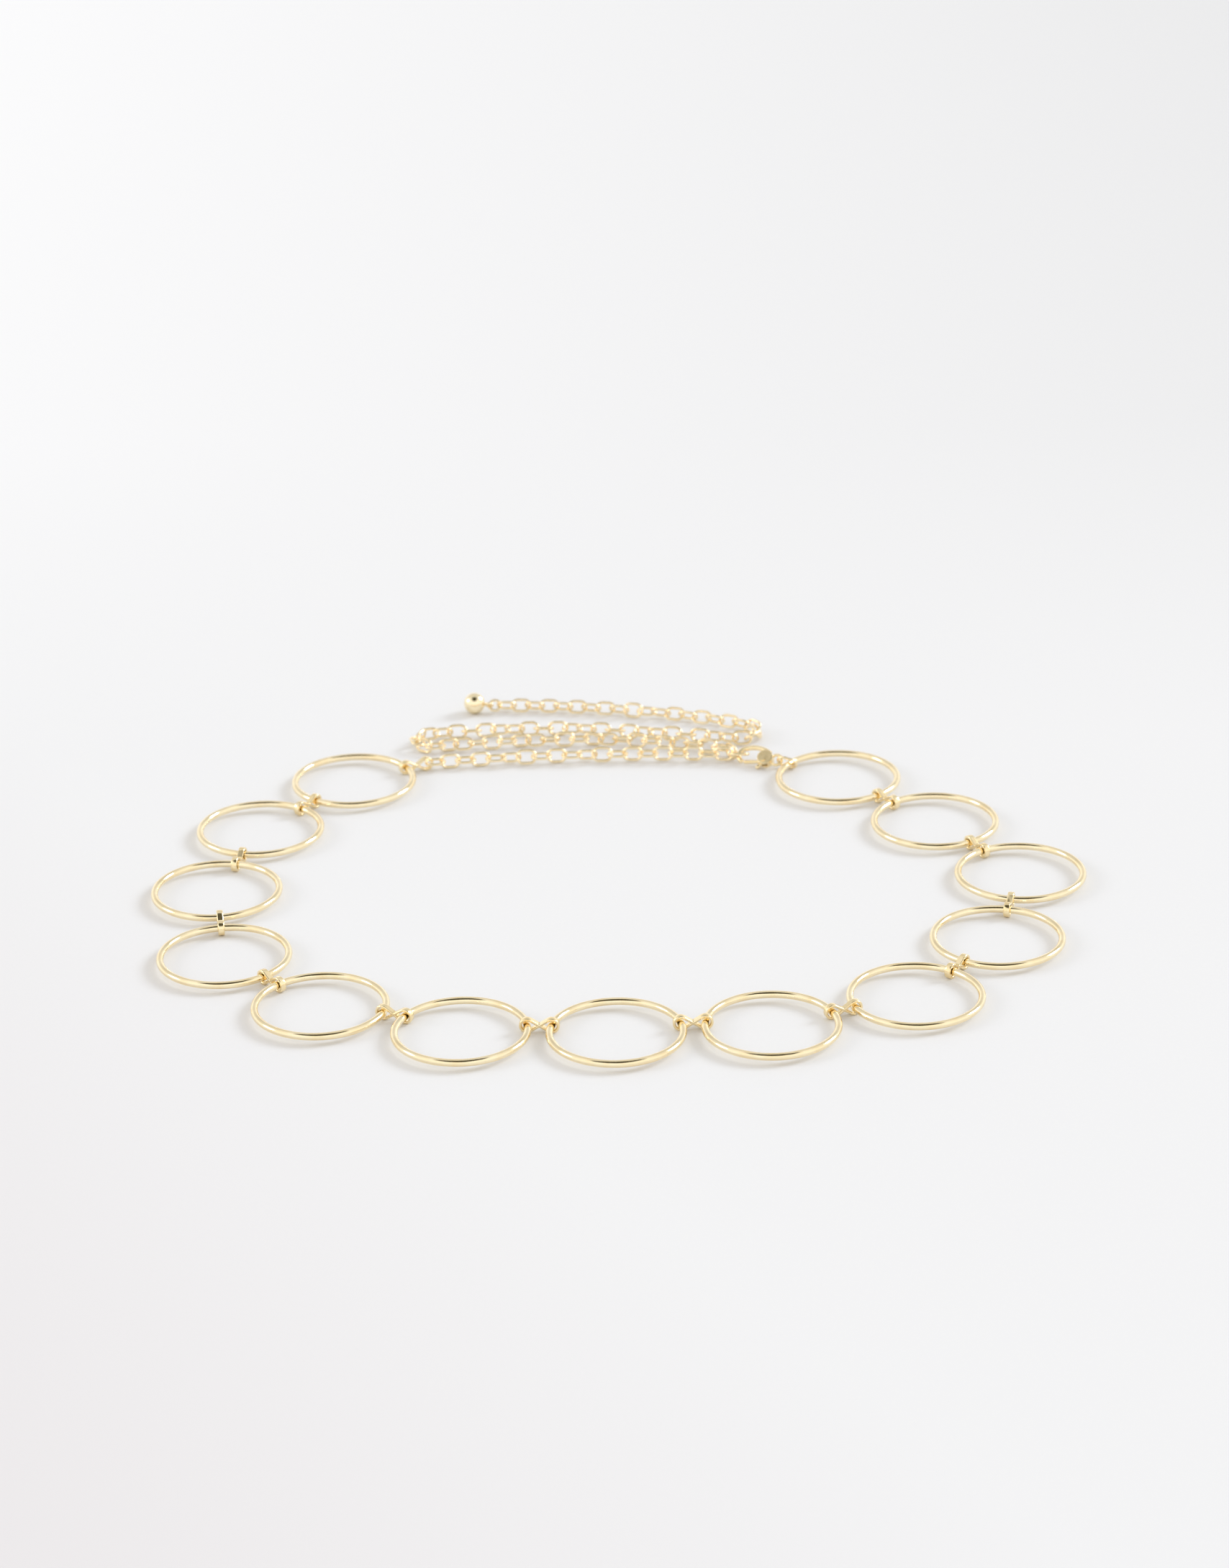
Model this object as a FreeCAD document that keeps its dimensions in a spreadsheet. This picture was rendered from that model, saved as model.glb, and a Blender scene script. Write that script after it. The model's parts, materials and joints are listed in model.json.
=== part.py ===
"""Chain belt necklace: thirteen plain rings joined by figure-8 links, with an extender chain.

The piece is modelled as it lies on a table: an open loop of rings in front, the clasp
hooked into the extender chain behind, and the spare chain folded back and forth.
Units are millimetres; the table is the plane z = 0 and +y points away from the viewer.
"""
import FreeCAD, Part
import math
import os
import Sketcher
from FreeCAD import Placement, Rotation, Vector

DIMENSIONS = (
    # name, value (mm), meaning
    ("ring_dia", 40.0, "outside diameter of a large ring"),
    ("ring_wire", 2.2, "round wire of a large ring"),
    ("rest_height", 2.3, "height of ring wire centres and figure-8 link centres"),
    ("lobe_bore", 3.0, "inside diameter of a figure-8 lobe"),
    ("lobe_offset", 3.5, "lobe centre from the middle of a figure-8 link"),
    ("strip_thick", 0.8, "thickness of the strip a figure-8 link is bent from"),
    ("strip_width", 1.9, "width of that strip"),
    ("ring_reach", 3.5, "ring wire centre from the middle of a figure-8 link"),
    ("chain_reach", 4.0, "chain pivot from the middle of the end figure-8 link"),
    ("link_length", 7.0, "outside length of an oval chain link"),
    ("link_width", 5.1, "outside width of an oval chain link"),
    ("link_wire", 0.9, "round wire of a chain link"),
    ("loose_pitch", 4.75, "link spacing in the straight runs of the spare chain"),
    ("tight_pitch", 4.15, "link spacing in its two turns"),
    ("chain_height", 2.6, "height of the chain's centre line"),
    ("hook_wire", 1.6, "wire of the clasp's fixed arm"),
    ("nose_radius", 2.5, "centre line radius of the clasp's nose"),
    ("nose_centre", 10.4, "nose centre from the clasp eye"),
    ("arm_radius", 9.0, "centre line radius of the clasp's long arm"),
    ("block_radius", 2.6, "clasp block outline"),
    ("block_thick", 2.8, "clasp block thickness"),
    ("block_centre", 3.7, "block centre from the clasp eye"),
    ("slot_thick", 1.3, "slot in the block for the trigger"),
    ("eye_radius", 1.8, "centre line radius of the clasp eye"),
    ("eye_wire", 1.0, "wire of the clasp eye"),
    ("rivet_dia", 1.0, "trigger rivet"),
    ("trigger_wire", 1.24, "trigger arm"),
    ("root_radius", 1.5, "trigger root"),
    ("root_gap", 0.5, "slot thickness left over beside the trigger root"),
    ("root_lift", 0.08, "gap under the trigger root"),
    ("groove_depth", 0.42, "recess beside the trigger root that holds the spring"),
    ("head_thick", 0.3, "rivet head thickness"),
    ("spring_wire", 0.15, "wire of the trigger spring"),
    ("spring_gap", 0.22, "spring centre line from the rivet shank"),
    ("running_gap", 0.04, "radial gap of the turning fits"),
    ("ball_dia", 7.0, "end ball"),
    ("pin_dia", 0.9, "shank of the end ball's pin"),
    ("pin_eye_radius", 1.1, "centre line radius of the pin's eye"),
    ("pin_eye_wire", 0.8, "wire of the pin's eye"),
    ("pin_past_middle", 1.9, "how far the pin runs past the middle of the ball"),
    ("bore_past_middle", 2.0, "how far the ball's bore runs past its middle"),
    ("jump_radius", 1.9, "centre line radius of the end jump ring"),
    ("jump_wire", 0.9, "wire of the end jump ring"),
)

# How the piece lies. Runs of rings leave the front ring: heading of each step away from
# the x axis, and how far its figure-8 link sits inside the line of ring centres.
FRONT_RING = (-1.7, -109.5)
FRONT_RING_NUMBER = 7
RIGHT_STEPS = ((2.6, 4.0), (20.7, 0.8), (53.3, 0), (75.7, 0), (120.6, 0), (128.9, 0))
LEFT_STEPS = ((3.7, 4.0), (23.5, 3.0), (47.9, 0), (82.7, 0), (103.2, 0), (128.0, 0))
LEFT_EXIT = 30.0        # angle round the last left ring where its end link hangs
END_HEADING = 24.0      # heading of that end link
RIGHT_EXIT = 141.0      # angle round the last right ring where the clasp link hangs
CLASP_LINK_POSE = (165.0, 62.0, 12.0)       # heading, roll, climb
CLASP_POSE = (156.0, 142.0)                 # heading, roll
RING_SLACK = 0.1        # the clasp link's bend centre past the ring's wire
EYE_SLACK = 0.9         # the clasp eye's wire past the link's bend centre

# Fastened row of the extender: from the left end link to the hooked link.
ROW_LINKS = 21
ROW_BOW = 6.5           # heading change from the middle to either end
ROW_DROP = 0.1          # start of the row below the chain's centre line
HOOKED_END = (42.5, 79.6, 3.0)
HOOKED_ROLL = -20.0     # extra roll of the hooked link
TWISTED_JOINTS = (4, 5, 6, 9, 10, 11)

# Spare chain: links, pitch, first heading, last heading, roll added per link.
SPARE_RUNS = (
    (1, "tight_pitch", 118, 118, 89),
    (10, "loose_pitch", 158, 176, 108),
    (10, "loose_pitch", 178, 188, 108),
    (5, "tight_pitch", 190, 15, 96),
    (9, "loose_pitch", 6, -2, 108),
    (12, "loose_pitch", -9, -14, 108),
    (4, "tight_pitch", 5, 130, 90),
    (6, "loose_pitch", 153, 161, 90),
    (3, "loose_pitch", 165, 165, 120),
    (9, "loose_pitch", 167, 176, 90),
)
SPARE_START = (-1.9, 1.5)     # along the hooked link, and out from its back arm
SPARE_FIRST_ROLL = 94.0
ROW_SEGMENTS = (4, 4, 4, 4, 4)
SPARE_SEGMENTS = (4, 4, 4, 4, 4, 7, 4, 4, 4, 4, 4, 7, 4, 4, 4, 3)
TAIL_HEADING = 180.0    # from the last link to the end ball

doc = FreeCAD.newDocument("chain_belt_necklace")
sheet = doc.addObject("Spreadsheet::Sheet", "Dimensions")
for row, (name, value, meaning) in enumerate(DIMENSIONS, start=1):
    sheet.set("A%d" % row, name)
    sheet.set("B%d" % row, str(value))
    sheet.set("C%d" % row, meaning)
    sheet.setAlias("B%d" % row, name)
doc.recompute()

PARTS = {}


def size(name):
    """A driving dimension, read from the sheet."""
    return float(sheet.get(name))


def direction(heading):
    """Unit vector in the table plane."""
    angle = math.radians(heading)
    return Vector(math.cos(angle), math.sin(angle), 0)


def pose(centre, heading, roll=0.0, climb=0.0):
    """Long axis along the heading and climbing, then rolled about that axis."""
    turn = Rotation(Vector(0, 0, 1), heading) * Rotation(Vector(0, 1, 0), -climb)
    return Placement(Vector(centre), turn * Rotation(Vector(1, 0, 0), roll))


# ---------------------------------------------------------------- where everything lies

def ring_layout():
    """Ring centres by number, and (centre, heading) of the figure-8 links between them."""
    wire_radius = (size("ring_dia") - size("ring_wire")) / 2
    front = Vector(FRONT_RING[0], FRONT_RING[1], size("rest_height"))
    centres = {FRONT_RING_NUMBER: front}
    links = {}
    for side, steps in ((1, RIGHT_STEPS), (-1, LEFT_STEPS)):
        number = FRONT_RING_NUMBER
        for turn, inset in steps:
            heading = turn if side > 0 else 180 - turn
            inward = direction(heading + 90 * side)
            span = 2 * (math.sqrt(wire_radius ** 2 - inset ** 2) + size("ring_reach"))
            start = centres[number]
            end = start + direction(heading) * span
            links[min(number, number + side)] = ((start + end) / 2 + inward * inset, heading)
            number += side
            centres[number] = end
    return centres, links


def exit_point(centre, angle):
    """Wire centre of a ring at an angle round it."""
    return centre + direction(angle) * (size("ring_dia") - size("ring_wire")) / 2


def clasp_layout(centres):
    """Ring pivot, clasp link centre, eye pivot and the placement of the clasp."""
    heading, _, climb = CLASP_LINK_POSE
    straight = (size("link_length") - size("link_width")) / 2
    along = pose((0, 0, 0), heading, 0, climb).Rotation.multVec(Vector(1, 0, 0))
    ring_pivot = exit_point(centres[max(centres)], RIGHT_EXIT)
    link_centre = ring_pivot + along * (straight + RING_SLACK)
    eye_wire = link_centre + along * (straight + EYE_SLACK)
    eye = eye_wire + direction(CLASP_POSE[0]) * size("eye_radius")
    return ring_pivot, link_centre, eye_wire, pose(eye, *CLASP_POSE)


def row_layout(centres):
    """Left end link, and every link of the fastened row as (centre, heading, roll)."""
    last_ring = centres[min(centres)]
    along = direction(END_HEADING)
    end_link = exit_point(last_ring, LEFT_EXIT) + along * size("ring_reach")
    start = end_link + along * size("chain_reach")
    start.z = size("chain_height") - ROW_DROP
    finish = Vector(*HOOKED_END)
    chord = finish - start
    across = math.degrees(math.atan2(chord.y, chord.x))
    headings = [across + ROW_BOW * (1 - 2 * (k + 0.5) / ROW_LINKS) for k in range(ROW_LINKS)]
    reach = sum((direction(heading) for heading in headings), Vector())
    pitch = math.hypot(chord.x, chord.y) / reach.Length
    pivots = [start]
    links = []
    roll = 0.0
    for number, heading in enumerate(headings):
        step = direction(heading) * pitch + Vector(0, 0, chord.z / ROW_LINKS)
        last = number == ROW_LINKS - 1
        links.append((pivots[-1] + step / 2, heading, roll + (HOOKED_ROLL if last else 0)))
        pivots.append(pivots[-1] + step)
        roll += 120 if number in TWISTED_JOINTS else 90
    return end_link, links, pivots


def spare_layout(hooked):
    """Every link of the spare chain as (centre, heading, roll), and the pivots between."""
    centre, heading, roll = hooked
    arm = (size("link_width") - size("link_wire")) / 2 * math.cos(math.radians(HOOKED_ROLL))
    back_arm = centre + direction(heading) * SPARE_START[0] + direction(heading + 90) * arm
    first = direction(SPARE_RUNS[0][2])
    pivot = back_arm + first * (SPARE_START[1] - size(SPARE_RUNS[0][1]) / 2)
    pivot.z = size("chain_height")
    links = []
    pivots = [pivot]
    roll = SPARE_FIRST_ROLL
    for count, pitch, heading_in, heading_out, twist in SPARE_RUNS:
        for step in range(count):
            share = step / (count - 1) if count > 1 else 0
            heading = heading_in + (heading_out - heading_in) * share
            half = direction(heading) * size(pitch) / 2
            links.append((pivots[-1] + half, heading, roll))
            pivots.append(pivots[-1] + half * 2)
            roll += twist
    return links, pivots


# ---------------------------------------------------------------- building helpers

def keep(item, label):
    """Register one exported sub-part under its label."""
    item.Label = label
    PARTS[label] = item
    return item


def bind(item, **sizes):
    """Bind properties of an object to expressions over the sheet."""
    for name, expression in sizes.items():
        item.setExpression(name, expression)
    return item


def add(kind, name, placement=None, **sizes):
    """A Part primitive or boolean with bound sizes."""
    item = doc.addObject(kind, name)
    if placement is not None:
        item.Placement = placement
    return bind(item, **sizes)


def fuse(name, shapes):
    item = doc.addObject("Part::MultiFuse", name)
    item.Shapes = shapes
    return item


def cut(name, base, tool):
    item = doc.addObject("Part::Cut", name)
    item.Base = base
    item.Tool = tool
    return item


def copy_of(master, name, placement):
    """A placed copy of a master body."""
    item = doc.addObject("App::Link", name)
    item.LinkedObject = master
    item.Placement = placement
    return item


def body_sketch(body, role, name):
    """A sketch on one of a body's origin planes."""
    plane = [item for item in body.Origin.OriginFeatures if item.Role == role][0]
    sketch = body.newObject("Sketcher::SketchObject", name)
    sketch.AttachmentSupport = [(plane, "")]
    sketch.MapMode = "FlatFace"
    return sketch


# ---------------------------------------------------------------- rings and figure-8 links

def make_rings(centres):
    for number in sorted(centres):
        ring = add("Part::Torus", "ring_%02d" % number, pose(centres[number], 0),
                   Radius1="(Dimensions.ring_dia - Dimensions.ring_wire) / 2",
                   Radius2="Dimensions.ring_wire / 2")
        keep(ring, "ring_%02d" % number)


def figure_eight_outline(offset, bore, thick):
    """Arcs and straights of a figure-8 strip seen on edge: outline and two teardrop holes."""
    up = Vector(0, 0, 1)
    middle = bore / 2 + thick / 2
    slope = math.asin(middle / offset)
    outer = bore / 2 + thick
    geometry = []
    for side in (1, -1):
        centre = Vector(side * offset, 0, 0)
        normal = Vector(-side * math.sin(slope), math.cos(slope), 0)
        mirrored = Vector(normal.x, -normal.y, 0)
        notch = Vector(0, thick / 2 / math.cos(slope), 0)
        apex = centre - Vector(side * bore / 2 / math.sin(slope), 0, 0)
        for radius, tip_top, tip_low in ((outer, notch, -notch), (bore / 2, apex, apex)):
            top = centre + normal * radius
            low = centre + mirrored * radius
            first, last = (low, top) if side > 0 else (top, low)
            circle = Part.Circle(centre, up, radius)
            geometry.append(Part.ArcOfCircle(circle, circle.parameter(first),
                                             circle.parameter(last)))
            geometry.append(Part.LineSegment(top, tip_top))
            geometry.append(Part.LineSegment(tip_low, low))
    return geometry


def figure_eight_master():
    """The figure-8 link: strip bent round two eyes and crossing in the middle."""
    body = doc.addObject("PartDesign::Body", "figure_eight_master")
    sketch = body_sketch(body, "XZ_Plane", "figure_eight_outline")
    offset, bore, thick = size("lobe_offset"), size("lobe_bore"), size("strip_thick")
    sketch.addGeometry(figure_eight_outline(offset, bore, thick), False)
    rule = Sketcher.Constraint
    for first in (0, 3, 6, 9):
        start, end = (1, 2) if first < 6 else (2, 1)
        sketch.addConstraint([
            rule("Tangent", first, end, first + 1, 1),
            rule("Tangent", first, start, first + 2, 2)])
    for hole in (3, 9):
        sketch.addConstraint([
            rule("Coincident", hole + 1, 2, hole + 2, 1),
            rule("Coincident", hole, 3, hole - 3, 3)])
    sketch.addConstraint([
        rule("PointOnObject", 0, 3, -1),
        rule("Symmetric", 0, 3, 6, 3, -1, 1),
        rule("Coincident", 1, 2, 7, 2),
        rule("Coincident", 2, 1, 8, 1),
        rule("PointOnObject", 1, 2, -2),
        rule("Symmetric", 1, 2, 2, 1, -1, 1),
        rule("PointOnObject", 4, 2, -1),
        rule("Symmetric", 4, 2, 10, 2, -1, 1),
        rule("Equal", 0, 6),
        rule("Equal", 3, 9),
        rule("Tangent", 1, 11)])
    driven = (
        (rule("Radius", 0, bore / 2 + thick), "Dimensions.lobe_bore / 2 + Dimensions.strip_thick"),
        (rule("Radius", 3, bore / 2), "Dimensions.lobe_bore / 2"),
        (rule("DistanceX", 6, 3, 0, 3, 2 * offset), "Dimensions.lobe_offset * 2"))
    for constraint, expression in driven:
        index = sketch.addConstraint(constraint)
        sketch.setExpression("Constraints[%d]" % index, expression)
    pad = body.newObject("PartDesign::Pad", "figure_eight_strip")
    pad.Profile = sketch
    pad.Midplane = True
    bind(pad, Length="Dimensions.strip_width")
    return body


def make_figure_eights(master, links, end_link):
    for number in sorted(links):
        centre, heading = links[number]
        label = "figure_eight_%02d" % number
        keep(copy_of(master, label, pose(centre, heading)), label)
    label = "figure_eight_chain_end"
    keep(copy_of(master, label, pose(end_link, END_HEADING)), label)


# ---------------------------------------------------------------- chain

def chain_link_master():
    """One oval link: round wire swept along a straight-sided oval."""
    up = Vector(0, 0, 1)
    wire = size("link_wire")
    radius = (size("link_width") - wire) / 2
    half = (size("link_length") - size("link_width")) / 2
    body = doc.addObject("PartDesign::Body", "link_master")
    path = body_sketch(body, "XY_Plane", "link_path")
    right = Part.Circle(Vector(half, 0, 0), up, radius)
    left = Part.Circle(Vector(-half, 0, 0), up, radius)
    quarter = math.pi / 2
    path.addGeometry([
        Part.LineSegment(Vector(-half, radius, 0), Vector(half, radius, 0)),
        Part.ArcOfCircle(right, -quarter, quarter),
        Part.LineSegment(Vector(half, -radius, 0), Vector(-half, -radius, 0)),
        Part.ArcOfCircle(left, quarter, 3 * quarter)], False)
    rule = Sketcher.Constraint
    path.addConstraint([
        rule("Tangent", 0, 2, 1, 2), rule("Tangent", 1, 1, 2, 1),
        rule("Tangent", 2, 2, 3, 2), rule("Tangent", 3, 1, 0, 1),
        rule("Horizontal", 0), rule("PointOnObject", 1, 3, -1),
        rule("Symmetric", 1, 3, 3, 3, -1, 1)])
    index = path.addConstraint(rule("Radius", 1, radius))
    path.setExpression("Constraints[%d]" % index,
                       "(Dimensions.link_width - Dimensions.link_wire) / 2")
    index = path.addConstraint(rule("DistanceX", 3, 3, 1, 3, 2 * half))
    path.setExpression("Constraints[%d]" % index,
                       "Dimensions.link_length - Dimensions.link_width")
    profile = body_sketch(body, "YZ_Plane", "link_section")
    profile.addGeometry(Part.Circle(Vector(radius, 0, 0), up, wire / 2), False)
    profile.addConstraint([
        rule("PointOnObject", 0, 3, -1),
        rule("DistanceX", -1, 1, 0, 3, radius),
        rule("Diameter", 0, wire)])
    profile.setExpression("Constraints[1]",
                          "(Dimensions.link_width - Dimensions.link_wire) / 2")
    profile.setExpression("Constraints[2]", "Dimensions.link_wire")
    sweep = body.newObject("PartDesign::AdditivePipe", "link_wire_sweep")
    sweep.Profile = profile
    sweep.Spine = (path, ["Edge1", "Edge2", "Edge3", "Edge4"])
    return body


def make_chain(master, prefix, links, segments):
    """Cut a run of links into short segments, each one sub-part."""
    first = 0
    for number, count in enumerate(segments, start=1):
        label = "%s_%02d" % (prefix, number)
        copies = [copy_of(master, "%s_link_%d" % (label, k + 1), pose(*links[first + k]))
                  for k in range(count)]
        segment = doc.addObject("Part::Compound", label)
        segment.Links = copies
        keep(segment, label)
        first += count


# ---------------------------------------------------------------- clasp

# Places on the clasp, from its eye, with the nose along +x and the trigger on the -y side.
ARM_START = Vector(2.6, 1.9, 0)
NOSE_END_ANGLE = -62.0
BLOCK_DROP = 0.1
SLOT_CORNER = Vector(2.35, -4.1, 0)
SLOT_LENGTH = 6.0
SLOT_WIDTH = 5.0
RIVET = Vector(4.2, -0.9, 0)
GATE_START = RIVET + Vector(1.0, -0.6, 0)
GATE_TIP = Vector(10.05, -2.4, 0)
TAB_START = RIVET + Vector(0.5, -1.3, 0)
TAB_END = Vector(5.5, -3.6, 0)


def tangent_arm(start):
    """Centre of the long arm: through its start, with the nose circle inside it."""
    arm = size("arm_radius")
    gap = arm - size("nose_radius")
    nose = Vector(size("nose_centre"), 0, 0)
    span = nose - start
    along = (arm ** 2 - gap ** 2 + span.Length ** 2) / (2 * span.Length)
    side = math.sqrt(arm ** 2 - along ** 2)
    unit = span / span.Length
    return start + unit * along + Vector(unit.y, -unit.x, 0) * side, nose


def hook_path():
    """Sketch of the fixed arm: one long arc running into the nose arc."""
    up = Vector(0, 0, 1)
    start = ARM_START
    centre, nose = tangent_arm(start)
    arm, bend = size("arm_radius"), size("nose_radius")
    outward = (nose - centre) / (nose - centre).Length
    meet = nose + outward * bend
    tip = math.radians(NOSE_END_ANGLE)
    long_circle = Part.Circle(centre, up, arm)
    nose_circle = Part.Circle(nose, up, bend)
    sketch = doc.addObject("Sketcher::SketchObject", "hook_path")
    sketch.addGeometry([
        Part.ArcOfCircle(long_circle, long_circle.parameter(meet), long_circle.parameter(start)),
        Part.ArcOfCircle(nose_circle, tip, nose_circle.parameter(meet))], False)
    rule = Sketcher.Constraint
    sketch.addConstraint([
        rule("Tangent", 0, 1, 1, 2),
        rule("PointOnObject", 1, 3, -1),
        rule("DistanceX", -1, 1, 0, 2, start.x),
        rule("DistanceY", -1, 1, 0, 2, start.y),
        rule("DistanceX", 1, 3, 1, 1, bend * math.cos(tip))])
    for constraint, expression in (
            (rule("Radius", 0, arm), "Dimensions.arm_radius"),
            (rule("Radius", 1, bend), "Dimensions.nose_radius"),
            (rule("DistanceX", -1, 1, 1, 3, nose.x), "Dimensions.nose_centre")):
        index = sketch.addConstraint(constraint)
        sketch.setExpression("Constraints[%d]" % index, expression)
    return sketch, start, centre, nose + Vector(math.cos(tip), math.sin(tip), 0) * bend


def sweep_wire(name, path, edges, start, along, radius):
    """Round wire swept along a path from its start point."""
    section = doc.addObject("Part::Circle", name + "_section")
    section.Placement = Placement(start, Rotation(Vector(0, 0, 1), along))
    bind(section, Radius=radius)
    sweep = doc.addObject("Part::Sweep", name)
    sweep.Sections = [section]
    sweep.Spine = (path, edges)
    sweep.Solid = True
    sweep.Frenet = True
    return sweep


def rod(name, start, end, radius):
    """Round rod with a ball end at its far point."""
    axis = end - start
    bar = add("Part::Cylinder", name + "_rod",
              Placement(start, Rotation(Vector(0, 0, 1), axis)), Radius=radius)
    bar.Height = axis.Length
    ball = add("Part::Sphere", name + "_end", Placement(end, Rotation()), Radius=radius)
    return [bar, ball]


def disc(name, centre, thick, radius):
    """Disc about a clasp-normal axis, centred on the clasp's middle plane."""
    plate = add("Part::Cylinder", name, None, Radius=radius, Height=thick)
    plate.Placement = Placement(centre, Rotation())
    bind(plate, **{"Placement.Base.z": "-(%s) / 2" % thick})
    return plate


def make_clasp(placement):
    path, start, arm_centre, nose_tip = hook_path()
    tangent = Vector(start.y - arm_centre.y, arm_centre.x - start.x, 0)
    arm = sweep_wire("hook_arm", path, ["Edge1", "Edge2"], start, tangent,
                     "Dimensions.hook_wire / 2")
    nose = add("Part::Sphere", "nose_tip", Placement(nose_tip, Rotation()),
               Radius="Dimensions.hook_wire / 2")
    block = disc("block", Vector(size("block_centre"), -BLOCK_DROP, 0),
                 "Dimensions.block_thick", "Dimensions.block_radius")
    eye = add("Part::Torus", "clasp_eye", None, Radius1="Dimensions.eye_radius",
              Radius2="Dimensions.eye_wire / 2")
    solid = fuse("clasp_blank", [arm, nose, block, eye])
    slot = add("Part::Box", "trigger_slot", None, Height="Dimensions.slot_thick")
    slot.Length = SLOT_LENGTH
    slot.Width = SLOT_WIDTH
    slot.Placement = Placement(SLOT_CORNER, Rotation())
    bind(slot, **{"Placement.Base.z": "-Dimensions.slot_thick / 2"})
    bore = disc("rivet_bore", RIVET, "Dimensions.block_thick * 2",
                "Dimensions.rivet_dia / 2 + Dimensions.running_gap / 2")
    body = cut("clasp_body", solid, fuse("clasp_cuts", [slot, bore]))
    body.Placement = placement
    keep(body, "clasp_body")

    make_trigger(placement)
    make_rivet(placement)
    make_spring(placement)


def make_trigger(placement):
    """The gate arm and thumb tab on a root that turns on the rivet inside the slot."""
    root = disc("trigger_root", RIVET, "Dimensions.slot_thick - Dimensions.root_gap",
                "Dimensions.root_radius")
    bind(root, **{"Placement.Base.z": "-Dimensions.slot_thick / 2 + Dimensions.root_lift"})
    gate = rod("gate", GATE_START, GATE_TIP, "Dimensions.trigger_wire / 2")
    tab = rod("thumb_tab", TAB_START, TAB_END, "Dimensions.trigger_wire / 2")
    lever = fuse("trigger_blank", [root] + gate + tab)
    hole = disc("trigger_bore", RIVET, "Dimensions.slot_thick * 2",
                "Dimensions.rivet_dia / 2 + Dimensions.running_gap")
    groove = disc("spring_groove", RIVET, "Dimensions.slot_thick", "Dimensions.root_radius + 0.1")
    bind(groove, **{"Placement.Base.z": "Dimensions.slot_thick / 2 - Dimensions.groove_depth"})
    trigger = cut("clasp_trigger", lever, fuse("trigger_cuts", [hole, groove]))
    trigger.Placement = placement
    keep(trigger, "clasp_trigger")


def make_rivet(placement):
    """Round shank with a thin head on each cheek of the block."""
    shank = disc("rivet_shank", RIVET, "Dimensions.block_thick + Dimensions.head_thick",
                 "Dimensions.rivet_dia / 2")
    heads = []
    low = "-Dimensions.block_thick / 2 - Dimensions.head_thick"
    for name, level in (("rivet_head_top", "Dimensions.block_thick / 2"),
                        ("rivet_head_low", low)):
        head = disc(name, RIVET, "Dimensions.head_thick", "Dimensions.rivet_dia * 0.9")
        bind(head, **{"Placement.Base.z": level})
        heads.append(head)
    rivet = fuse("clasp_rivet", [shank] + heads)
    rivet.Placement = placement
    keep(rivet, "clasp_rivet")


def make_spring(placement):
    """A close turn of fine wire round the rivet, in the groove beside the trigger root."""
    coil = doc.addObject("Part::Helix", "spring_path")
    bind(coil, Pitch="Dimensions.spring_wire + 0.02", Height="Dimensions.spring_wire + 0.05",
         Radius="Dimensions.rivet_dia / 2 + Dimensions.spring_gap")
    level = size("slot_thick") / 2 - size("groove_depth") + 0.1
    coil.Placement = Placement(RIVET + Vector(0, 0, level), Rotation())
    doc.recompute()
    start = coil.Shape.Vertexes[0].Point
    spring = sweep_wire("clasp_spring", coil, ["Edge1"], start, Vector(0, 1, 0),
                        "Dimensions.spring_wire / 2")
    spring.Placement = placement
    keep(spring, "clasp_spring")


# ---------------------------------------------------------------- end of the spare chain

JUMP_SLACK = 0.1        # free play between the last link and the jump ring
PIN_TUCK = 0.1          # pin eye nearer the ball than touching, seen from above
PIN_EYE_DROP = 0.75     # pin eye below the middle of the ball


def make_tail_end(pivot, roll):
    """Jump ring on the last link, the pin that hangs in it and the ball on the pin."""
    along = direction(TAIL_HEADING)
    link_reach = size("link_length") / 2 - size("link_wire") / 2 - size("loose_pitch") / 2
    clear = (size("link_wire") + size("jump_wire")) / 2 + JUMP_SLACK
    ring_centre = pivot + along * (link_reach - clear + size("jump_radius"))
    ring = add("Part::Torus", "end_jump_ring", pose(ring_centre, TAIL_HEADING, roll),
               Radius1="Dimensions.jump_radius", Radius2="Dimensions.jump_wire / 2")
    keep(ring, "end_jump_ring")
    ring_wire = ring_centre + along * size("jump_radius")
    centre = ring_wire + along * (size("pin_eye_radius") + size("pin_eye_wire") / 2
                                  + size("ball_dia") / 2 - PIN_TUCK)
    centre.z = size("ball_dia") / 2
    ring_wire.z = centre.z - PIN_EYE_DROP
    axis = centre - ring_wire
    lean = Rotation(Vector(1, 0, 0), axis)
    spin = Rotation(Vector(1, 0, 0), roll + 90)
    placement = Placement(centre, lean * spin)
    reach = axis.Length
    bore = add("Part::Cylinder", "ball_bore",
               Placement(Vector(-size("ball_dia"), 0, 0), Rotation(Vector(0, 1, 0), 90)),
               Radius="Dimensions.pin_dia / 2 + Dimensions.running_gap / 2",
               Height="Dimensions.ball_dia + Dimensions.bore_past_middle")
    sphere = add("Part::Sphere", "ball_blank", None, Radius="Dimensions.ball_dia / 2")
    ball = cut("end_ball", sphere, bore)
    ball.Placement = placement
    keep(ball, "end_ball")
    shank = add("Part::Cylinder", "pin_shank",
                Placement(Vector(-reach + size("pin_eye_radius"), 0, 0),
                          Rotation(Vector(0, 1, 0), 90)),
                Radius="Dimensions.pin_dia / 2")
    shank.Height = reach - size("pin_eye_radius") + size("pin_past_middle")
    loop = add("Part::Torus", "pin_eye", Placement(Vector(-reach, 0, 0), Rotation()),
               Radius1="Dimensions.pin_eye_radius", Radius2="Dimensions.pin_eye_wire / 2")
    pin = fuse("end_ball_pin", [loop, shank])
    pin.Placement = placement
    keep(pin, "end_ball_pin")


# ---------------------------------------------------------------- build, check, export

centres, links = ring_layout()
end_link, row_links, row_pivots = row_layout(centres)
spare_links, spare_pivots = spare_layout(row_links[-1])
ring_pivot, clasp_link_centre, eye_pivot, clasp_placement = clasp_layout(centres)

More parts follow.
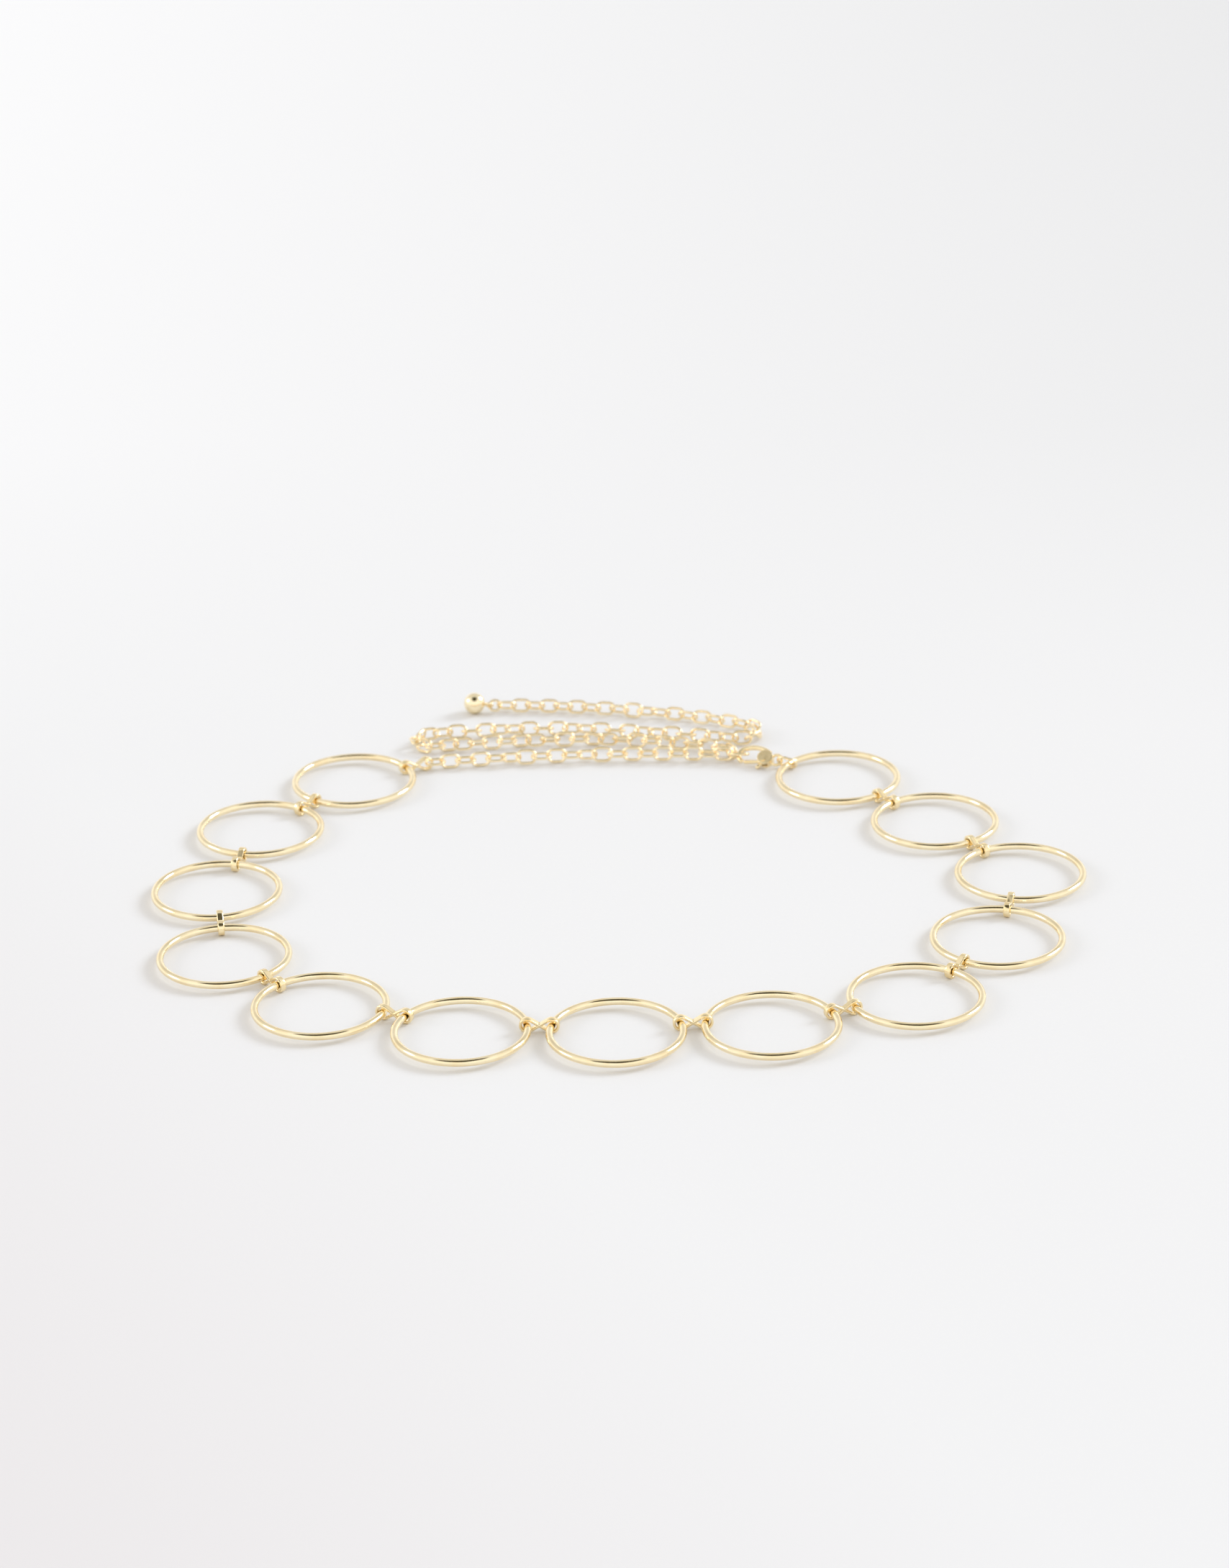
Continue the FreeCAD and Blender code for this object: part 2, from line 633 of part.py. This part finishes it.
make_rings(centres)
make_figure_eights(figure_eight_master(), links, end_link)
chain_link = chain_link_master()
keep(copy_of(chain_link, "clasp_link", pose(clasp_link_centre, *CLASP_LINK_POSE)), "clasp_link")
keep(copy_of(chain_link, "hooked_link", pose(*row_links[-1])), "hooked_link")
make_chain(chain_link, "extender_row", row_links[:-1], ROW_SEGMENTS)
make_chain(chain_link, "spare_chain", spare_links, SPARE_SEGMENTS)
make_clasp(clasp_placement)
make_tail_end(spare_pivots[-1], spare_links[-1][2] + 90)
doc.recompute()

for item in doc.Objects:
    if "Invalid" in item.State or "Error" in item.State:
        raise RuntimeError("object %s is in state %s" % (item.Label, item.State))

os.makedirs("parts", exist_ok=True)
for label in sorted(PARTS):
    shape = Part.getShape(PARTS[label])
    if shape.isNull() or not shape.isValid() or not shape.Solids:
        raise RuntimeError("bad shape for %s" % label)
    shape.exportStep("parts/%s.step" % label)
print("exported %d sub-parts" % len(PARTS))
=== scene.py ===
"""Looks of the chain belt necklace: polished gold-plated rings and links on a pale studio table.

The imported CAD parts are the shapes. This script gives them their materials, softens the sharp
edges of the strip links and the clasp by less than 0.2 mm, and sets the table, the lights and
the camera. Lengths are in metres.
"""
import json
import math

import bpy
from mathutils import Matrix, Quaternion, Vector

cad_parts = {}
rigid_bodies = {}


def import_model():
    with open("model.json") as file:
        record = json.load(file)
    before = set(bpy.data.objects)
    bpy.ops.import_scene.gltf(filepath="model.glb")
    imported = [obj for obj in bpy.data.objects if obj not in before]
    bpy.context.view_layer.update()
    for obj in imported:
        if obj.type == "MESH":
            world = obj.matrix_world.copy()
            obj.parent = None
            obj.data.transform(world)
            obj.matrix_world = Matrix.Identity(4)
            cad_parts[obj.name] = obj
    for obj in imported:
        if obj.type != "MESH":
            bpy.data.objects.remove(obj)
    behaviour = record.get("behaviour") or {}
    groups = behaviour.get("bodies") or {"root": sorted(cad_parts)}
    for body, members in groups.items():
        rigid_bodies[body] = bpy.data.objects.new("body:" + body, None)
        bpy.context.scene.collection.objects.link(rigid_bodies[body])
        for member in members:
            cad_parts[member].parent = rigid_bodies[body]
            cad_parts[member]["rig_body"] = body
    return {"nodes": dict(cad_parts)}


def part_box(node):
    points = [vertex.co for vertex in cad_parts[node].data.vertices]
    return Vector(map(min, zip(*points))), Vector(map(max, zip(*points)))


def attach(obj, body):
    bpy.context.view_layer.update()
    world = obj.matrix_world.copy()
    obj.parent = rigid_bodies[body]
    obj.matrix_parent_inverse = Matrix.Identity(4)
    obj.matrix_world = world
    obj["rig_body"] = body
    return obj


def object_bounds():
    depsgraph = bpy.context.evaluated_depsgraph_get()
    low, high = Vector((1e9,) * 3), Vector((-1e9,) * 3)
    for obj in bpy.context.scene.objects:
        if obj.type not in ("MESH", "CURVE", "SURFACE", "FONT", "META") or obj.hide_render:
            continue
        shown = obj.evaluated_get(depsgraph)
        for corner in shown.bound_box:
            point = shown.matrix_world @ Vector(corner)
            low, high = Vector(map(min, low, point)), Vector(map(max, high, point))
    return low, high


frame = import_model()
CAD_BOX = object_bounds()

NODES = frame["nodes"]
LOW, HIGH = (Vector(corner) for corner in CAD_BOX)
CENTRE = Vector(((LOW.x + HIGH.x) / 2, (LOW.y + HIGH.y) / 2, LOW.z))

# Camera: how far it stands from the piece, how steeply it looks down, and how it is held.
CAMERA_DISTANCE = 1.299
CAMERA_ELEVATION = math.radians(24.33)
CAMERA_ROLL = math.radians(-1.383)
CAMERA_FIELD = math.radians(21.84)      # from top to bottom of the picture
CAMERA_REACH = 20.0
SENSOR_HEIGHT = 24.0                    # millimetres
AIM = CENTRE + Vector((-0.0005, 0.0603, 0.0023))
LENS_STOP = 9.5
FOCUS_SPOT = CENTRE + Vector((0.0, -0.075, 0.0))    # the front half is the sharpest

# Lamps: the direction towards each one, how wide it looks, its strength and its colour.
KEY_DIRECTION = Vector((0.777, 0.362, 0.515))
KEY_WIDTH = math.radians(21)
KEY_STRENGTH = 1.15
KEY_COLOUR = (0.90, 0.98, 1.10)
FILL_DIRECTION = Vector((-0.90, 0.05, 0.43))
FILL_WIDTH = math.radians(22)
FILL_STRENGTH = 0.42
FILL_COLOUR = (1.0, 1.0, 1.0)

# The even light that falls on everything, and the room that only polished metal mirrors.
WORLD_LIGHT = (0.800, 0.782, 0.760, 1.0)
ROOM_BRIGHT = (1.12, 1.10, 1.07, 1.0)
ROOM_DIM = (0.66, 0.65, 0.62, 1.0)      # high up and behind the piece
BEHIND_CLIMB, BEHIND_SHIFT = 0.9, 0.3
HIGH_CLIMB, HIGH_SHIFT = 3.5, -0.9

# The dark gap between the lamps: where it is, how wide, and how uneven its edge.
GAP_DIRECTION = (0.0, -0.30, 0.954)
GAP_EDGE = 0.89
GAP_BLUR = 0.025
GAP_COLOUR = (0.07, 0.065, 0.04, 1.0)
GAP_WOBBLE = 0.10
GAP_WOBBLE_SCALE = 2.5

# Gold plate. A texture's scale is how many of its features fit in one metre.
TINT_CLOUD_SCALE = 240.0
DEEP_TINT_BELOW, FULL_TINT_ABOVE = 0.30, 0.62
HAZE_SCALE = 1900.0
HAZE = 0.10
HAIRLINE_SCALE = 2600.0
HAIRLINE_STRETCH = (1.0, 6.0, 6.0)
HAIRLINE_DEPTH = 0.0000022
RIPPLE_SCALE = 210.0
LACQUER = 0.12
LACQUER_ROUGHNESS = 0.06

# Spring wire.
WIRE_LINE_SCALE = 3000.0
WIRE_LINE_STRETCH = (1.0, 1.0, 9.0)
WIRE_LINE_DEPTH = 0.000003
WIRE_DARK = (0.42, 0.41, 0.39)
WIRE_LIGHT = (0.66, 0.65, 0.62)
WIRE_ROUGHNESS, WIRE_ROUGHNESS_RANGE = 0.2, 0.15

# Table. A painted warm shade grows towards the front left, and painted light towards the back
# left.
TABLE_HALF_WIDTH = 4.0
PAPER_GRAIN_SCALE = 900.0
PAPER_GRAIN_DEPTH = 0.00002
PAPER_DARK = (0.878, 0.880, 0.886)
PAPER_LIGHT = (0.888, 0.890, 0.895)
# the darker, warmer table colour of the painted shade at the front left
PAPER_WARM_SHADE = (0.815, 0.790, 0.797, 1.0)
PAPER_ROUGHNESS = 0.85
PAPER_SHINE = 0.12
WARM_SHADE_ACROSS, WARM_SHADE_AWAY, WARM_SHADE_START = -3.5, -2.2, 0.45
# painted light: the table is brighter at the back left and darker at the back right
PAINTED_LIGHT_ACROSS = -0.22
PAINTED_LIGHT_AWAY_CLIMB, PAINTED_LIGHT_AWAY_SHIFT = 3.3, -0.33
GRAIN_LOW, GRAIN_HIGH = 0.3, 0.7        # where a fine texture's two colours begin

# Edges. The softened ones stay within 0.2 mm of the CAD surface.
WELD_DISTANCE = 0.000002
STRIP_EDGE = 0.0003
STRIP_EDGE_STEPS = 4
STRIP_EDGE_ANGLE = math.radians(50)
MELT_FACTOR = 0.5
CLASP_BODY_GRAIN, CLASP_BODY_PASSES = 0.00009, 14
TRIGGER_GRAIN, TRIGGER_PASSES = 0.00008, 6

MARKERS_PER_DRIVER = 16                 # a driver's expression has a limited length

# A mix node lists the sockets of every data type; these are the ones for colours.
MIX_FIRST, MIX_SECOND, MIX_RESULT = 6, 7, 2


# ---------------------------------------------------------------- node helpers

class Graph:
    """Short names for building a material or world node tree."""

    def __init__(self, owner):
        owner.use_nodes = True
        self.tree = owner.node_tree
        self.tree.nodes.clear()

    def node(self, kind, **settings):
        item = self.tree.nodes.new(kind)
        for name, value in settings.items():
            setattr(item, name, value)
        return item

    def link(self, source, target):
        self.tree.links.new(source, target)

    def feed(self, target, value):
        """Set an input from a number, a colour or another node's output."""
        if isinstance(value, bpy.types.NodeSocket):
            self.link(value, target)
        else:
            target.default_value = value

    def math(self, operation, first, second=0.0, clamp=False):
        item = self.node("ShaderNodeMath", operation=operation, use_clamp=clamp)
        self.feed(item.inputs[0], first)
        self.feed(item.inputs[1], second)
        return item.outputs[0]

    def climb(self, value, steepness, shift):
        """A straight line through the value, cut off below zero and above one."""
        return self.math("ADD", self.math("MULTIPLY", value, steepness), shift, clamp=True)

    def split(self, vector):
        item = self.node("ShaderNodeSeparateXYZ")
        self.link(vector, item.inputs["Vector"])
        return item.outputs

    def noise(self, vector, scale, detail=2.0, roughness=0.5):
        item = self.node("ShaderNodeTexNoise")
        self.link(vector, item.inputs["Vector"])
        item.inputs["Scale"].default_value = scale
        item.inputs["Detail"].default_value = detail
        item.inputs["Roughness"].default_value = roughness
        return item.outputs["Fac"]

    def stretch(self, vector, factors):
        item = self.node("ShaderNodeMapping")
        self.link(vector, item.inputs["Vector"])
        item.inputs["Scale"].default_value = factors
        return item.outputs["Vector"]

    def ramp(self, factor, stops):
        """Two colours along a factor, each from its own place on."""
        item = self.node("ShaderNodeValToRGB")
        for element, (position, colour) in zip(item.color_ramp.elements, stops):
            element.position = position
            element.color = (*colour, 1.0)
        self.link(factor, item.inputs["Fac"])
        return item.outputs["Color"]

    def blend(self, factor, first, second):
        item = self.node("ShaderNodeMix", data_type="RGBA")
        self.feed(item.inputs["Factor"], factor)
        self.feed(item.inputs[MIX_FIRST], first)
        self.feed(item.inputs[MIX_SECOND], second)
        return item.outputs[MIX_RESULT]

    def bump(self, height, distance, normal=None):
        item = self.node("ShaderNodeBump")
        item.inputs["Distance"].default_value = distance
        self.link(height, item.inputs["Height"])
        if normal is not None:
            self.link(normal, item.inputs["Normal"])
        return item.outputs["Normal"]

    def surface(self, inputs):
        """End a material in one surface shader with these inputs."""
        shader = self.node("ShaderNodeBsdfPrincipled")
        for name, value in inputs.items():
            self.feed(shader.inputs[name], value)
        output = self.node("ShaderNodeOutputMaterial")
        self.link(shader.outputs["BSDF"], output.inputs["Surface"])


# ---------------------------------------------------------------- materials

def plated_gold(name, tint, deep, polish, ripple):
    """Polished gold plate: cloudy tint, polishing haze, hairline scratches and soft ripples."""
    material = bpy.data.materials.new(name)
    graph = Graph(material)
    place = graph.node("ShaderNodeTexCoord").outputs["Object"]
    cloud = graph.noise(place, TINT_CLOUD_SCALE, 3.0)
    speckle = graph.noise(place, HAZE_SCALE, 4.0, 0.65)
    hairlines = graph.noise(graph.stretch(place, HAIRLINE_STRETCH), HAIRLINE_SCALE, 2.0, 0.7)
    waves = graph.bump(graph.noise(place, RIPPLE_SCALE, 1.0), ripple)
    graph.surface({
        "Base Color": graph.ramp(cloud, ((DEEP_TINT_BELOW, deep), (FULL_TINT_ABOVE, tint))),
        "Roughness": graph.math("ADD", graph.math("MULTIPLY", speckle, HAZE), polish),
        "Normal": graph.bump(hairlines, HAIRLINE_DEPTH, waves),
        "Metallic": 1.0,
        "Coat Weight": LACQUER,
        "Coat Roughness": LACQUER_ROUGHNESS,
    })
    return material


def spring_steel():
    """Drawn spring wire: grey, with fine lines along the coil."""
    material = bpy.data.materials.new("spring_steel_wire")
    graph = Graph(material)
    place = graph.node("ShaderNodeTexCoord").outputs["Object"]
    lines = graph.noise(graph.stretch(place, WIRE_LINE_STRETCH), WIRE_LINE_SCALE, 3.0)
    uneven = graph.math("MULTIPLY", lines, WIRE_ROUGHNESS_RANGE)
    graph.surface({
        "Base Color": graph.ramp(lines, ((GRAIN_LOW, WIRE_DARK), (GRAIN_HIGH, WIRE_LIGHT))),
        "Roughness": graph.math("ADD", uneven, WIRE_ROUGHNESS),
        "Normal": graph.bump(lines, WIRE_LINE_DEPTH),
        "Metallic": 1.0,
    })
    return material


def table_paper():
    """Matt white table: painted warm shade towards the front left, and painted light at the back
    left.
    """
    material = bpy.data.materials.new("table_paper")
    graph = Graph(material)
    place = graph.node("ShaderNodeTexCoord").outputs["Object"]
    parts = graph.split(place)
    across, away = parts["X"], parts["Y"]
    # painted shade: the table colour turns darker and warmer towards the front left
    corner = graph.math("ADD", graph.math("MULTIPLY", across, WARM_SHADE_ACROSS),
                        graph.math("MULTIPLY", away, WARM_SHADE_AWAY))
    warm_shade = graph.math("SUBTRACT", corner, WARM_SHADE_START, clamp=True)
    grain = graph.noise(place, PAPER_GRAIN_SCALE, 4.0, 0.6)
    plain = graph.ramp(grain, ((GRAIN_LOW, PAPER_DARK), (GRAIN_HIGH, PAPER_LIGHT)))
    paper = graph.blend(warm_shade, plain, PAPER_WARM_SHADE)
    # painted light: the table colour brightens towards the back left and dims towards the back
    # right
    behind = graph.climb(away, PAINTED_LIGHT_AWAY_CLIMB, PAINTED_LIGHT_AWAY_SHIFT)
    slope = graph.math("MULTIPLY", graph.math("MULTIPLY", across, PAINTED_LIGHT_ACROSS), behind)
    painted_light = graph.node("ShaderNodeVectorMath", operation="SCALE")
    graph.link(paper, painted_light.inputs[0])
    graph.link(graph.math("ADD", slope, 1.0), painted_light.inputs["Scale"])
    graph.surface({
        "Base Color": painted_light.outputs["Vector"],
        "Roughness": PAPER_ROUGHNESS,
        "Specular IOR Level": PAPER_SHINE,
        "Normal": graph.bump(grain, PAPER_GRAIN_DEPTH),
    })
    return material


# ---------------------------------------------------------------- the piece

def dress(prefix, material):
    """Give every CAD node whose name starts with the prefix its material."""
    for name, item in NODES.items():
        if name.startswith(prefix):
            item.data.materials.clear()
            item.data.materials.append(material)


def weld_seams(item):
    """Join the points that faces share, so that edges can be found."""
    weld = item.modifiers.new("weld", "WELD")
    weld.merge_threshold = WELD_DISTANCE


def soften_edges(item):
    """Round the sharp edges of a bent strip."""
    weld_seams(item)
    bevel = item.modifiers.new("edges", "BEVEL")
    bevel.width = STRIP_EDGE
    bevel.segments = STRIP_EDGE_STEPS
    bevel.limit_method = "ANGLE"
    bevel.angle_limit = STRIP_EDGE_ANGLE
    bevel.harden_normals = True


def cast_look(item, grain, passes):
    """Melt the edges and joints of a cast part into one smooth skin."""
    weld_seams(item)
    skin = item.modifiers.new("skin", "REMESH")
    skin.mode = "VOXEL"
    skin.voxel_size = grain
    skin.use_smooth_shade = True
    smooth = item.modifiers.new("melt", "SMOOTH")
    smooth.factor = MELT_FACTOR
    smooth.iterations = passes


def dress_piece():
    """Material and edges of every part; a later prefix overrides an earlier one."""
    rings = plated_gold("ring_gold_plate", tint=(1.0, 0.87, 0.60), deep=(0.97, 0.80, 0.50),
                        polish=0.05, ripple=0.00006)
    links = plated_gold("link_gold_plate", tint=(0.99, 0.84, 0.54), deep=(0.96, 0.77, 0.44),
                        polish=0.13, ripple=0.00003)
    chain = plated_gold("chain_gold_plate", tint=(1.0, 0.85, 0.57), deep=(0.96, 0.78, 0.47),
                        polish=0.07, ripple=0.00002)
    clasp = plated_gold("clasp_gold_plate", tint=(0.99, 0.83, 0.52), deep=(0.95, 0.76, 0.43),
                        polish=0.17, ripple=0.00004)
    ball = plated_gold("ball_gold_plate", tint=(1.0, 0.87, 0.60), deep=(0.97, 0.82, 0.53),
                       polish=0.03, ripple=0.00001)
    for prefix, material in (
            ("ring_", rings), ("figure_eight_", links), ("clasp_", clasp), ("clasp_link", chain),
            ("hooked_link", chain), ("extender_row_", chain), ("spare_chain_", chain),
            ("end_", chain), ("end_ball", ball), ("clasp_spring", spring_steel())):
        dress(prefix, material)
    for name, item in NODES.items():
        if name.startswith("figure_eight_"):
            soften_edges(item)
    cast_look(NODES["clasp_body"], CLASP_BODY_GRAIN, CLASP_BODY_PASSES)
    cast_look(NODES["clasp_trigger"], TRIGGER_GRAIN, TRIGGER_PASSES)


# ---------------------------------------------------------------- table, lights and camera

def add_markers(names):
    """Empties on the bottom edges of the named parts' boxes, riding on the parts' bodies."""
    markers = []
    for name in names:
        low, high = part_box(name)
        middle = (low + high) / 2
        for spot in ((low.x, middle.y), (high.x, middle.y), (middle.x, low.y), (middle.x, high.y)):
            marker = bpy.data.objects.new("table_marker", None)
            marker.location = (spot[0], spot[1], low.z)
            bpy.context.scene.collection.objects.link(marker)
            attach(marker, NODES[name]["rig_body"])
            markers.append(marker)
    return markers


def drive_lowest(owner, path, sources):
    """Drive a property with the smallest of some heights, and never above zero."""
    driver = owner.driver_add(*path).driver
    driver.type = "SCRIPTED"
    names = []
    for number, (item, kind) in enumerate(sources):
        variable = driver.variables.new()
        variable.name = "v%d" % number
        names.append(variable.name)
        if kind == "height":
            variable.type = "TRANSFORMS"
            variable.targets[0].id = item
            variable.targets[0].transform_type = "LOC_Z"
            variable.targets[0].transform_space = "WORLD_SPACE"
        else:
            variable.targets[0].id = item
            variable.targets[0].data_path = kind
    driver.expression = "min(0.0, %s)" % ", ".join(names)


def add_table(material):
    """A flat table that sinks under the lowest part when a pose reaches below it."""
    half = TABLE_HALF_WIDTH
    mesh = bpy.data.meshes.new("table_top")
    mesh.from_pydata([(-half, -half, 0), (half, -half, 0), (half, half, 0), (-half, half, 0)],
                     [], [(0, 1, 2, 3)])
    mesh.materials.append(material)
    table = bpy.data.objects.new("table_top", mesh)
    bpy.context.scene.collection.objects.link(table)
    markers = add_markers([name for name in NODES if not name.startswith("clasp_")])
    groups = []
    for first in range(0, len(markers), MARKERS_PER_DRIVER):
        name = "lowest_%d" % (first // MARKERS_PER_DRIVER)
        path = '["%s"]' % name
        table[name] = 0.0
        group = markers[first:first + MARKERS_PER_DRIVER]
        drive_lowest(table, (path,), [(item, "height") for item in group])
        groups.append((table, path))
    drive_lowest(table, ("location", 2), groups)


def add_lamp(name, direction, width, strength, colour):
    light = bpy.data.lights.new(name, "SUN")
    light.angle = width
    light.energy = strength
    light.color = colour
    lamp = bpy.data.objects.new(name, light)
    lamp.rotation_euler = direction.to_track_quat("Z", "Y").to_euler()
    bpy.context.scene.collection.objects.link(lamp)


def mirrored_room(graph):
    """What polished metal sees: a bright room, dimmer high up behind, with a dark gap overhead."""
    direction = graph.node("ShaderNodeTexCoord").outputs["Generated"]
    parts = graph.split(direction)
    uneven = graph.math("SUBTRACT", graph.noise(direction, GAP_WOBBLE_SCALE), 0.5)
    wobble = graph.math("MULTIPLY", uneven, GAP_WOBBLE)
    aligned = graph.node("ShaderNodeVectorMath", operation="DOT_PRODUCT")
    graph.link(direction, aligned.inputs[0])
    aligned.inputs[1].default_value = GAP_DIRECTION
    nearness = graph.math("ADD", aligned.outputs["Value"], wobble)
    gap = graph.ramp(nearness, ((GAP_EDGE - GAP_BLUR, (0.0, 0.0, 0.0)),
                                (GAP_EDGE + GAP_BLUR, (1.0, 1.0, 1.0))))
    shade = graph.math("MULTIPLY", graph.climb(parts["Y"], BEHIND_CLIMB, BEHIND_SHIFT),
                       graph.climb(parts["Z"], HIGH_CLIMB, HIGH_SHIFT))
    room = graph.blend(shade, ROOM_BRIGHT, ROOM_DIM)
    return graph.blend(gap, room, GAP_COLOUR)


def add_studio():
    """Even white light for matt surfaces, the mirrored room for polished ones, and two lamps."""
    world = bpy.data.worlds.new("studio")
    bpy.context.scene.world = world
    graph = Graph(world)
    rays = graph.node("ShaderNodeLightPath")
    background = graph.node("ShaderNodeBackground")
    light = graph.blend(rays.outputs["Is Glossy Ray"], WORLD_LIGHT, mirrored_room(graph))
    graph.link(light, background.inputs["Color"])
    output = graph.node("ShaderNodeOutputWorld")
    graph.link(background.outputs[0], output.inputs["Surface"])
    add_lamp("key_softbox", KEY_DIRECTION, KEY_WIDTH, KEY_STRENGTH, KEY_COLOUR)
    add_lamp("fill_softbox", FILL_DIRECTION, FILL_WIDTH, FILL_STRENGTH, FILL_COLOUR)


def add_camera():
    """The camera stands in front, looks down on the piece and is sharp on its front half."""
    camera_data = bpy.data.cameras.new("camera")
    camera_data.sensor_fit = "VERTICAL"
    camera_data.sensor_height = SENSOR_HEIGHT
    camera_data.angle = CAMERA_FIELD
    camera_data.clip_end = CAMERA_REACH
    camera_data.dof.use_dof = True
    camera_data.dof.aperture_fstop = LENS_STOP
    focus = bpy.data.objects.new("focus_spot", None)
    focus.location = FOCUS_SPOT
    bpy.context.scene.collection.objects.link(focus)
    camera_data.dof.focus_object = focus
    camera = bpy.data.objects.new("camera", camera_data)
    bpy.context.scene.collection.objects.link(camera)
    backward = Vector((0, -math.cos(CAMERA_ELEVATION), math.sin(CAMERA_ELEVATION)))
    camera.location = AIM + backward * CAMERA_DISTANCE
    camera.rotation_mode = "QUATERNION"
    roll = Quaternion((0, 0, 1), CAMERA_ROLL)
    camera.rotation_quaternion = backward.to_track_quat("Z", "Y") @ roll
    bpy.context.scene.camera = camera


dress_piece()
add_table(table_paper())
add_studio()
add_camera()
bpy.context.scene.view_settings.view_transform = "Standard"
